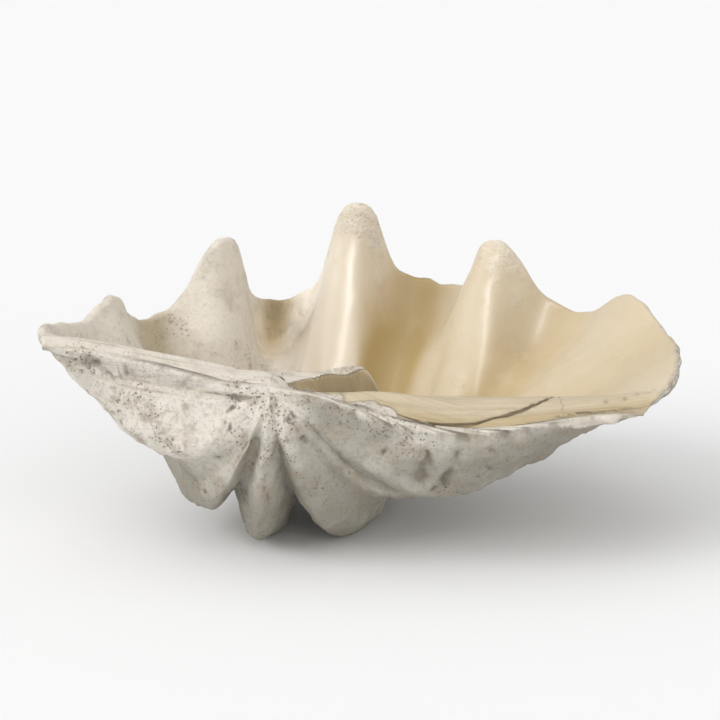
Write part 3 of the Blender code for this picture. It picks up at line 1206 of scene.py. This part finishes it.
        # Darker on the tooth's front face, brown and painted shade, and a little on the plate
        dirt_and_shade = np.maximum(dirt_and_shade, np.maximum(0.58 * face, 0.13 * on_plate * ease(0.02, 0.07, x)))
        worn, gold = self.patina.over_plate(surface, x, behind, face, top, broken)
        worn = mix(self.patina.worn(surface, growth, angle, ridges), worn, on_plate)
        gold = mix(self.patina.gold(growth, angle), gold, on_plate)
        flat = 0 * growth * angle
        masks = {
            "inside": flat + np.clip(0.5 + behind / self.ragged_edge, 0.5, 1),
            "growth": flat + growth,
            "spoke": flat + angle / 180,
            "grime_and_shade": flat + dirt_and_shade,
            # The tooth's front face is gold too: partly painted shade
            "gold": np.clip(np.maximum(gold, 0.75 * face), 0, 1),
            "plate": flat + on_plate,
            "worn": flat + worn,
            "across": self.plate.across_groove(x, sheet[..., 1]),
            "bleach_and_painted_light": flat + 1,
            "fibre": strand_slant(x) - behind,
            "pitted": flat + self.weathering.crowding(surface),
        }
        return surface, masks

    def lips(self, outer: Array, inner: Array) -> tuple[list[Array], list[Array]]:
        """Loops that round the rim over.

        Each loop lies on half an ellipse from the outside's last line to the inside's.

        Args:
            outer: The outside.
            inner: The hollow.

        Returns:
            The loops, and how far inside each of their points is.
        """
        middle = (outer[-1] + inner[-1]) / 2
        half = np.linalg.norm(outer[-1] - inner[-1], axis=-1, keepdims=True) / 2
        onward = (outer[-1] - outer[-3]) + (inner[-1] - inner[-3])
        onward /= np.linalg.norm(onward, axis=-1, keepdims=True)
        rings, insides = [], []
        for step in range(1, self.lip_steps + 1):
            turn = step / self.lip_steps * math.pi / 2
            crown = middle + onward * half * math.sin(turn)
            spread = (outer[-1] - middle) * math.cos(turn)
            rings.append(np.concatenate([crown + spread, (crown - spread)[::-1]]))
            near = np.full(len(middle), 0.5 * math.sin(turn))
            insides.append(np.concatenate([near, 1 - near]))
        return rings, insides

    def build(self) -> bpy.types.Object:
        """Makes the closed mesh: loops from the beak to the rim, out along the outside and back.

        Returns:
            The object, at the origin.
        """
        plain, outer, outer_masks = self.outside()
        inner, inner_masks = self.inside(plain)
        loops = [np.concatenate([out, back[::-1]]) for out, back in zip(outer, inner)]
        lip_loops, lip_inside = self.lips(outer, inner)
        rings = np.array(loops + lip_loops)
        masks = {}
        for key in outer_masks:
            rows = np.hstack([outer_masks[key], inner_masks[key][:, ::-1]])
            masks[key] = np.vstack([rows] + [rows[-1:]] * len(lip_loops))
        masks["inside"][-len(lip_loops):] = lip_inside
        rows, columns = rings.shape[:2]
        corner = np.arange(rows * columns).reshape(rows, columns)
        here, there = corner[:-1], corner[1:]
        quads = np.stack([here, np.roll(here, -1, 1), np.roll(there, -1, 1), there], -1)
        points = self.placement.lay(rings).reshape(-1, 3)
        mesh = closed_mesh(self.name, points, quads.reshape(-1, 4), masks)
        valve = bpy.data.objects.new(self.name, mesh)
        bpy.context.scene.collection.objects.link(valve)
        return valve

    def dress(self, valve: bpy.types.Object, finish: ShellFinish) -> None:
        """Gives the valve its one finish."""
        valve.data.materials.append(finish.material())


def closed_mesh(
    name: str, points: Array, quads: Array, masks: dict[str, Array]
) -> bpy.types.Mesh:
    """A closed mesh from a grid of loops, with its coinciding points made one.

    Points on the same thousandth of a millimetre are one point, and faces that this leaves with
    fewer than three corners are dropped.

    Args:
        name: The mesh's name.
        points: Places.
        quads: Four point numbers for each face.
        masks: Values for each point, by name.

    Returns:
        The mesh, with its faces pointing out.
    """
    _, first, back = np.unique(
        np.round(points * 1e6).astype(np.int64), axis=0, return_index=True, return_inverse=True
    )
    quads = back.reshape(-1)[quads]
    following = np.roll(quads, -1, 1)
    keep = quads != following
    sides = keep.sum(1)
    quads, keep, sides = quads[sides > 2], keep[sides > 2], sides[sides > 2]
    mesh = bpy.data.meshes.new(name)
    mesh.vertices.add(len(first))
    mesh.vertices.foreach_set("co", points[first].astype(np.float32).ravel())
    mesh.loops.add(int(sides.sum()))
    mesh.loops.foreach_set("vertex_index", quads[keep].astype(np.int32))
    mesh.polygons.add(len(sides))
    starts = np.concatenate([[0], np.cumsum(sides)[:-1]]).astype(np.int32)
    mesh.polygons.foreach_set("loop_start", starts)
    mesh.update(calc_edges=True)
    mesh.validate()
    for key, values in masks.items():
        layer = mesh.attributes.new(key, "FLOAT", "POINT")
        layer.data.foreach_set("value", values.reshape(-1)[first].astype(np.float32))
    mesh.shade_smooth()
    return mesh


class Board:
    """A node tree under construction."""

    def __init__(self, tree: bpy.types.NodeTree) -> None:
        """Keeps the tree."""
        self.tree = tree

    def add(self, kind: str, inputs: dict | None = None, **settings: object) -> bpy.types.Node:
        """Adds a node, sets it and connects it.

        Args:
            kind: The node's type.
            inputs: Values or output sockets, by input name or number.
            settings: The node's own settings.

        Returns:
            The node.
        """
        node = self.tree.nodes.new(kind)
        for key, value in settings.items():
            setattr(node, key, value)
        for key, value in (inputs or {}).items():
            if isinstance(value, Socket):
                self.tree.links.new(value, node.inputs[key])
            else:
                node.inputs[key].default_value = value
        return node

    def maths(self, operation: str, *values: Socket | float, clamp: bool = False) -> Socket:
        """The result of a Math node.

        Args:
            operation: What it works out.
            values: Its inputs, in order.
            clamp: Whether the result stays from 0 to 1.

        Returns:
            The result.
        """
        node = self.add(
            "ShaderNodeMath", dict(enumerate(values)), operation=operation, use_clamp=clamp
        )
        return node.outputs[0]

    def product(self, *values: Socket | float) -> Socket:
        """The product of two or more values.

        Args:
            values: What is multiplied, in order.

        Returns:
            The result.
        """
        result = values[0]
        for value in values[1:]:
            result = self.maths("MULTIPLY", result, value)
        return result

    def opposite(self, value: Socket) -> Socket:
        """1 less the value."""
        return self.maths("SUBTRACT", 1.0, value)

    def step(self, value: Socket, low: float, high: float) -> Socket:
        """A smooth step of a value.

        Args:
            value: The value.
            low: Where the result is 0.
            high: Where the result is 1.

        Returns:
            The result.
        """
        node = self.add(
            "ShaderNodeMapRange",
            {"Value": value, "From Min": low, "From Max": high},
            interpolation_type="SMOOTHSTEP",
        )
        return node.outputs["Result"]

    def blend(self, share: Socket, first: Socket | Colour, second: Socket | Colour) -> Socket:
        """A mix of two colours.

        Args:
            share: How much of the second there is.
            first: A colour.
            second: Another colour.

        Returns:
            The mix.
        """
        node = self.add("ShaderNodeMix", {0: share}, data_type="RGBA")
        for index, value in ((6, first), (7, second)):
            if isinstance(value, Socket):
                self.tree.links.new(value, node.inputs[index])
            else:
                node.inputs[index].default_value = (*value, 1)
        return node.outputs[2]

    def noise(self, place: Socket, scale: float, detail: float, rough: float = 0.5) -> Socket:
        """A cloud, from 0 to 1.

        Args:
            place: Where it is read.
            scale: Lumps in a metre.
            detail: The number of finer layers.
            rough: How strong the finer layers are.

        Returns:
            The cloud.
        """
        node = self.add(
            "ShaderNodeTexNoise",
            {"Vector": place, "Scale": scale, "Detail": detail, "Roughness": rough},
        )
        return node.outputs["Fac"]

    def mask(self, name: str) -> Socket:
        """One of the mesh's own masks."""
        return self.add("ShaderNodeAttribute", attribute_name=name).outputs["Fac"]

    def set(self, node: bpy.types.Node, name: str, value: Socket) -> None:
        """Connects a value to a node's input."""
        self.tree.links.new(value, node.inputs[name])


def new_group(
    name: str, inputs: dict[str, str], outputs: dict[str, str]
) -> tuple[Board, bpy.types.Node, bpy.types.Node]:
    """An empty node group with named sockets.

    Args:
        name: The group's name.
        inputs: Socket types by name.
        outputs: Socket types by name.

    Returns:
        The board, the inputs' node and the outputs' node.
    """
    tree = bpy.data.node_groups.new(name, "ShaderNodeTree")
    for key, kind in inputs.items():
        tree.interface.new_socket(key, in_out="INPUT", socket_type=kind)
    for key, kind in outputs.items():
        tree.interface.new_socket(key, in_out="OUTPUT", socket_type=kind)
    board = Board(tree)
    return board, board.add("NodeGroupInput"), board.add("NodeGroupOutput")


def pits_group() -> bpy.types.NodeTree:
    """Small holes in clusters: near cell centres, where a cloud is thick enough.

    A hole's size is the cloud's smooth step times the amount. It is open where the distance to
    the cell's centre is less than that.

    Returns:
        The group, with the holes as a mask.
    """
    board, into, out = new_group(
        "fine pits",
        {
            "Place": "NodeSocketVector",
            "Scale": "NodeSocketFloat",
            "Amount": "NodeSocketFloat",
            "Crowding": "NodeSocketFloat",
        },
        {"Mask": "NodeSocketFloat"},
    )
    place, scale = into.outputs["Place"], into.outputs["Scale"]
    warp = board.add("ShaderNodeTexNoise", {"Vector": place, "Scale": 160.0, "Detail": 2.0})
    shift = board.add(
        "ShaderNodeVectorMath", {0: warp.outputs["Color"], "Scale": 0.0045}, operation="SCALE"
    )
    moved = board.add("ShaderNodeVectorMath", {0: place, 1: shift.outputs[0]}, operation="ADD")
    cells = board.add("ShaderNodeTexVoronoi", {"Vector": moved.outputs[0], "Scale": scale})
    cloud = board.noise(place, 22.0, 3.0, 0.6)
    cloud = board.maths("MULTIPLY_ADD", into.outputs["Crowding"], 0.27, cloud)
    chosen = board.step(cells.outputs["Color"], 0.45, 0.9)
    size = board.product(board.step(cloud, 0.40, 0.72), into.outputs["Amount"], chosen)
    inner = board.maths("SUBTRACT", size, cells.outputs["Distance"])
    board.set(out, "Mask", board.step(inner, 0.0, 0.10))
    return board.tree


def growth_lines_group() -> bpy.types.NodeTree:
    """Fine lines along and across the growth.

    Each is a cloud that is read along one line only, the growth share or the angle, which
    wavers with another cloud.

    Returns:
        The group, with the lines and the rays as heights.
    """
    board, into, out = new_group(
        "growth lines",
        {"Place": "NodeSocketVector", "Growth": "NodeSocketFloat", "Spoke": "NodeSocketFloat"},
        {"Lines": "NodeSocketFloat", "Rays": "NodeSocketFloat"},
    )
    cloud = board.noise(into.outputs["Place"], 16.0, 3.0)
    grown = board.maths("MULTIPLY_ADD", cloud, 0.03, into.outputs["Growth"])
    along = board.add("ShaderNodeCombineXYZ", {0: grown}).outputs[0]
    turned = board.maths("MULTIPLY_ADD", cloud, 0.01, into.outputs["Spoke"])
    spread = board.product(into.outputs["Growth"], 0.35)
    across = board.add("ShaderNodeCombineXYZ", {0: turned, 1: spread}).outputs[0]
    board.set(out, "Lines", board.noise(along, 90.0, 4.0, 0.7))
    board.set(out, "Rays", board.noise(across, 60.0, 3.0, 0.6))
    return board.tree


class ShellFields:
    """The masks and clouds that the shell's finish is mixed from, as output sockets."""

    def __init__(self, board: Board) -> None:
        """Adds the nodes.

        Args:
            board: The material's node tree.
        """
        place = board.add("ShaderNodeTexCoord").outputs["Object"]
        self.spoke, self.gold, self.plate = (board.mask(key) for key in ("spoke", "gold", "plate"))
        # Masks of grime with painted shade, and of bleaching with painted light
        self.grime_and_shade, self.bleach_and_painted_light = board.mask("grime_and_shade"), board.mask("bleach_and_painted_light")
        self.broad = board.noise(place, 7.0, 4.0, 0.55)
        self.middle = board.noise(place, 45.0, 6.0, 0.68)
        self.speck = board.noise(place, 260.0, 5.0, 0.80)
        self.holes = self.open_pits(board, place)
        self.strands = self.drawn_out(board, place)
        lines = board.add(
            "ShaderNodeGroup",
            {"Place": place, "Growth": board.mask("growth"), "Spoke": self.spoke},
            node_tree=growth_lines_group(),
        )
        self.lines, self.rays = lines.outputs["Lines"], lines.outputs["Rays"]
        across = board.maths("ABSOLUTE", board.mask("across"))
        self.groove = board.opposite(board.step(across, 0.55, 1.15))
        # The inside and the outside meet along a ragged line
        ragged = board.maths("SUBTRACT", board.noise(place, 70.0, 4.0, 0.65), 0.5)
        parted = board.maths("MULTIPLY_ADD", ragged, 0.7, board.mask("inside"))
        self.within = board.step(parted, 0.38, 0.62)
        self.without = board.opposite(self.within)
        # The short side of the hollow is worn matt, like the outside; its paler edge over the
        # tallest ridge's left flank is partly painted light
        patchy = board.noise(place, 45.0, 4.0, 0.6)
        patchy = board.maths("MULTIPLY_ADD", patchy, 0.7, board.mask("worn"))
        self.worn = board.step(patchy, 0.45, 1.05)

    def open_pits(self, board: Board, place: Socket) -> Socket:
        """Small and larger pits together.

        Args:
            board: The material's node tree.
            place: Object coordinates.

        Returns:
            Their mask.
        """
        crowding = board.mask("pitted")
        tree = pits_group()
        small = board.add(
            "ShaderNodeGroup",
            {"Place": place, "Scale": 400.0, "Amount": 0.66, "Crowding": crowding},
            node_tree=tree,
        )
        crowding = board.product(crowding, 0.30)
        large = board.add(
            "ShaderNodeGroup",
            {"Place": place, "Scale": 150.0, "Amount": 0.36, "Crowding": crowding},
            node_tree=tree,
        )
        return board.maths("MAXIMUM", small.outputs["Mask"], large.outputs["Mask"])

    def drawn_out(self, board: Board, place: Socket) -> Socket:
        """Strands: a cloud drawn out along the hinge line.

        Args:
            board: The material's node tree.
            place: Object coordinates.

        Returns:
            The cloud.
        """
        x = board.add("ShaderNodeSeparateXYZ", {0: place}).outputs[0]
        along, across = board.product(x, 11.0), board.product(board.mask("fibre"), 210.0)
        drawn = board.add("ShaderNodeCombineXYZ", {0: along, 1: across}).outputs[0]
        return board.noise(drawn, 1.0, 4.0, 0.62)


@dataclass(frozen=True)
class ShellFinish:
    """Chalk outside and porcelain inside, in one finish that the masks part."""

    chalk: Chalk = field(default_factory=Chalk)
    porcelain: Porcelain = field(default_factory=Porcelain)
    name: str = "shell_chalk_and_porcelain"
    relief: float = 0.0020

    def outer_colour(self, board: Board, at: ShellFields) -> Socket:
        """Grey chalk in painted shade to pale chalk where bleached and where painted light falls,
        then warm patches, then fine dark specks.

        Args:
            board: The material's node tree.
            at: Its masks and clouds.

        Returns:
            The colour.
        """
        chalk = self.chalk
        # Pale where bleached and where painted light falls, grey chalk where painted shade falls
        pale = board.maths("SUBTRACT", at.broad, 0.5)
        pale = board.maths("MULTIPLY_ADD", pale, 2.0, at.bleach_and_painted_light)
        colour = board.blend(board.step(pale, 0.10, 0.95), chalk.grey, chalk.light)
        patches = board.product(board.step(at.middle, 0.46, 0.70), 0.72)
        colour = board.blend(patches, colour, chalk.warm)
        specks = board.product(board.step(at.speck, 0.49, 0.70), 0.46)
        return board.blend(specks, colour, chalk.grime_and_shade)

    def inner_colour(self, board: Board, at: ShellFields) -> Socket:
        """Cream, paler where worn and, as painted light, left of the tallest ridge, and gold in the
        valleys, darkened in part as painted shade.

        What is worn is mottled and specked like the outside, and faint rays cross it all.

        Args:
            board: The material's node tree.
            at: Its masks and clouds.

        Returns:
            The colour.
        """
        chalk, porcelain = self.chalk, self.porcelain
        # Painted light: the hollow left of the tallest ridge is paler, as if lit from the left
        painted_light_left_of_tallest = board.product(board.step(at.spoke, 0.415, 0.475), 0.85)
        pale = board.maths("MAXIMUM", at.worn, painted_light_left_of_tallest)
        colour = board.blend(pale, porcelain.cream, porcelain.pale)
        tint = board.maths("SUBTRACT", at.middle, 0.5)
        tint = board.maths("MULTIPLY_ADD", tint, 0.25, at.gold)
        colour = board.blend(board.step(tint, 0.05, 1.0), colour, porcelain.gold)
        mottled = board.product(at.worn, board.step(at.middle, 0.46, 0.72), 0.40)
        colour = board.blend(mottled, colour, chalk.warm)
        specked = board.product(at.worn, board.step(at.speck, 0.50, 0.74), 0.28)
        colour = board.blend(specked, colour, chalk.grime_and_shade)
        rays = board.product(board.step(at.rays, 0.5, 0.8), 0.10)
        return board.blend(rays, colour, porcelain.gold)

    def dirt_and_shade(self, board: Board, at: ShellFields) -> Socket:
        """Dirt and painted shade in the pits, of which the polished inside has few.

        Args:
            board: The material's node tree.
            at: Its masks and clouds.

        Returns:
            The dirt and shade, from 0 to 1.
        """
        share = board.maths("MULTIPLY_ADD", at.worn, 0.55, 0.10)
        inside = board.product(at.holes, share, at.within)
        outside = board.product(at.holes, at.without)
        return board.maths("ADD", inside, outside, clamp=True)

    def polish(self, board: Board, at: ShellFields, darkening: Socket) -> Socket:
        """How polished it is: the clean inside, less so on the plate and where it is gold.

        Args:
            board: The material's node tree.
            at: Its masks and clouds.
            darkening: How dark it is with dirt and painted shade.

        Returns:
            The polish, from 0 to 1.
        """
        off_plate = board.maths("MULTIPLY_ADD", at.plate, -0.55, 1.0)
        off_gold = board.maths("MULTIPLY_ADD", at.gold, -0.75, 1.0, clamp=True)
        clean, unworn = board.opposite(darkening), board.opposite(at.worn)
        return board.product(at.within, unworn, clean, off_plate, off_gold)

    def height(self, board: Board, at: ShellFields, dirt_and_shade: Socket) -> Socket:
        """Relief too fine for the mesh: grain and lines less pits and groove, plus strands.

        The grain is full outside, a little less where the inside is worn, and faint elsewhere.

        Args:
            board: The material's node tree.
            at: Its masks and clouds.
            dirt_and_shade: The pits' dirt and painted shade, which marks how deep they are.

        Returns:
            The height.
        """
        grain = board.maths("MULTIPLY_ADD", at.middle, 1.5, board.product(at.speck, 1.5))
        grain = board.maths("MULTIPLY_ADD", at.lines, 0.30, grain)
        grain = board.maths("MULTIPLY_ADD", at.rays, 0.15, grain)
        rugged = board.product(at.worn, at.within)
        rugged = board.maths("MULTIPLY_ADD", rugged, 0.90, at.without)
        grain = board.product(grain, board.maths("ADD", rugged, 0.06))
        height = board.maths("SUBTRACT", grain, board.product(dirt_and_shade, 0.9))
        height = board.maths("SUBTRACT", height, board.product(at.groove, 1.6))
        return board.maths("ADD", height, board.product(at.strands, at.plate, 1.3))

    def material(self) -> bpy.types.Material:
        """Builds the material.

        Returns:
            The material.
        """
        chalk, porcelain = self.chalk, self.porcelain
        material = bpy.data.materials.new(self.name)
        material.use_nodes = True
        board = Board(material.node_tree)
        surface = material.node_tree.nodes["Principled BSDF"]
        at = ShellFields(board)

        dirt_and_shade = self.dirt_and_shade(board, at)
        darkening = board.maths("MAXIMUM", board.product(dirt_and_shade, 0.75), at.grime_and_shade)
        outer, inner = self.outer_colour(board, at), self.inner_colour(board, at)
        colour = board.blend(at.within, outer, inner)
        # Dirt and painted shade: pits, furrows, the lip's undercut, the broken edge, cracks and the
        # tooth's face darken
        colour = board.blend(board.product(darkening, 0.85), colour, chalk.grime_and_shade)
        # The deep groove on the plate is darkened along its line
        colour = board.blend(board.product(at.groove, 0.78), colour, porcelain.grime_and_shade)
        streaks = board.product(board.step(at.strands, 0.50, 0.72), at.plate, 0.60)
        colour = board.blend(streaks, colour, porcelain.streak)
        board.set(surface, "Base Color", colour)

        polish = self.polish(board, at, darkening)
        rough = board.add(
            "ShaderNodeMapRange",
            {
                "Value": board.maths("MULTIPLY_ADD", at.middle, 0.10, polish),
                "From Min": 0.05,
                "From Max": 1.05,
                "To Min": chalk.roughness,
                "To Max": porcelain.polished,
            },
        )
        board.set(surface, "Roughness", rough.outputs["Result"])
        board.set(surface, "Coat Weight", board.product(polish, porcelain.coat))
        surface.inputs["Coat Roughness"].default_value = porcelain.coat_roughness
        surface.inputs["Specular IOR Level"].default_value = 0.5

        bump = board.add(
            "ShaderNodeBump",
            {"Strength": 1.0, "Distance": self.relief, "Height": self.height(board, at, dirt_and_shade)},
        )
        board.set(surface, "Normal", bump.outputs["Normal"])
        return material


@dataclass(frozen=True)
class Studio:
    """A pale floor, soft light from the upper left and the photograph's camera.

    The soft lamps light what is matt, and the narrow gleams alone show in what is polished.
    """

    camera_from_beak: Point = (0.0841, -1.9241, 0.5465)
    camera_drop: float = 15.0
    lens: float = 107.0
    sensor: float = 36.0
    floor_colour: Colour = (0.845, 0.845, 0.845)
    floor_size: float = 30.0
    world_colour: Colour = (1.0, 1.0, 1.0)
    world_strength: float = 0.66
    # Degrees left of the camera's side, above the floor and across, then the power
    key: tuple[float, ...] = (65.0, 32.0, 40.0, 1.50)
    side: tuple[float, ...] = (-30.0, 22.0, 60.0, 0.80)
    top: tuple[float, ...] = (90.0, 72.0, 60.0, 0.40)
    # Bearing, width and power of the gleams, which differ in height alone
    gleam: tuple[float, ...] = (-9.0, 19.0, 1.35)
    gleam_heights: tuple[float, ...] = (20.0, 40.0, 60.0, 80.0)

    def floor(self) -> bpy.types.Object:
        """A plain pale floor: one square.

        Returns:
            The floor, at the origin.
        """
        half = self.floor_size / 2
        mesh = bpy.data.meshes.new("studio_floor")
        corners = [(-half, -half, 0), (half, -half, 0), (half, half, 0), (-half, half, 0)]
        mesh.from_pydata(corners, [], [(0, 1, 2, 3)])
        material = bpy.data.materials.new("studio_floor")
        material.use_nodes = True
        surface = material.node_tree.nodes["Principled BSDF"]
        surface.inputs["Base Color"].default_value = (*self.floor_colour, 1)
        surface.inputs["Roughness"].default_value = 0.9
        surface.inputs["Specular IOR Level"].default_value = 0.1
        mesh.materials.append(material)
        floor = bpy.data.objects.new("studio_floor", mesh)
        bpy.context.scene.collection.objects.link(floor)
        return floor

    def lamp(
        self, name: str, bearing: float, height: float, width: float, power: float, spread: bool
    ) -> None:
        """A far soft lamp.

        Args:
            name: The lamp's name.
            bearing: Degrees left of the camera's side.
            height: Degrees above the floor.
            width: Degrees across.
            power: Watts on a square metre that faces it.
            spread: Whether it lights what is matt, and not what mirrors it.
        """
        light = bpy.data.lights.new(name, "SUN")
        light.angle = math.radians(width)
        light.energy = power
        lamp = bpy.data.objects.new(name, light)
        lamp.visible_diffuse, lamp.visible_glossy = spread, not spread
        lamp.rotation_euler = (math.radians(90 - height), 0, math.radians(-bearing))
        bpy.context.scene.collection.objects.link(lamp)

    def camera(self, beak: Point) -> None:
        """The camera, placed from the beak and looking down by its drop.

        Args:
            beak: Where the beak is.
        """
        view = bpy.data.cameras.new("camera")
        view.lens = self.lens
        view.sensor_width = self.sensor
        camera = bpy.data.objects.new("camera", view)
        camera.location = [at + off for at, off in zip(beak, self.camera_from_beak)]
        camera.rotation_euler = (math.radians(90 - self.camera_drop), 0, 0)
        bpy.context.scene.collection.objects.link(camera)
        bpy.context.scene.camera = camera

    def light(self) -> None:
        """The lamps, the pale surroundings and a view that leaves colours as they are."""
        world = bpy.data.worlds.new("studio")
        world.use_nodes = True
        background = world.node_tree.nodes["Background"]
        background.inputs["Color"].default_value = (*self.world_colour, 1)
        background.inputs["Strength"].default_value = self.world_strength
        bpy.context.scene.world = world
        bpy.context.scene.view_settings.view_transform = "Standard"
        self.lamp("window", *self.key, True)
        self.lamp("side_window", *self.side, True)
        self.lamp("skylight", *self.top, True)
        bearing, width, power = self.gleam
        for height in self.gleam_heights:
            self.lamp("gleam", bearing, height, width, power, False)


def main() -> None:
    """Builds the valve and the studio round it."""
    logging.basicConfig(level=logging.INFO, format="%(name)s: %(message)s")
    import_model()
    valve = Valve()
    piece = valve.build()
    valve.dress(piece, ShellFinish())
    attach(piece, "root")
    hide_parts(valve.node)
    triangles = sum(len(face.vertices) - 2 for face in piece.data.polygons)
    LOG.info("%s: %d triangles", piece.name, triangles)

    studio = Studio()
    floor = studio.floor()
    studio.light()
    studio.camera(valve.placement.beak)
    LOG.info("studio: floor, lamps and camera")


if __name__ == "__main__":
    main()
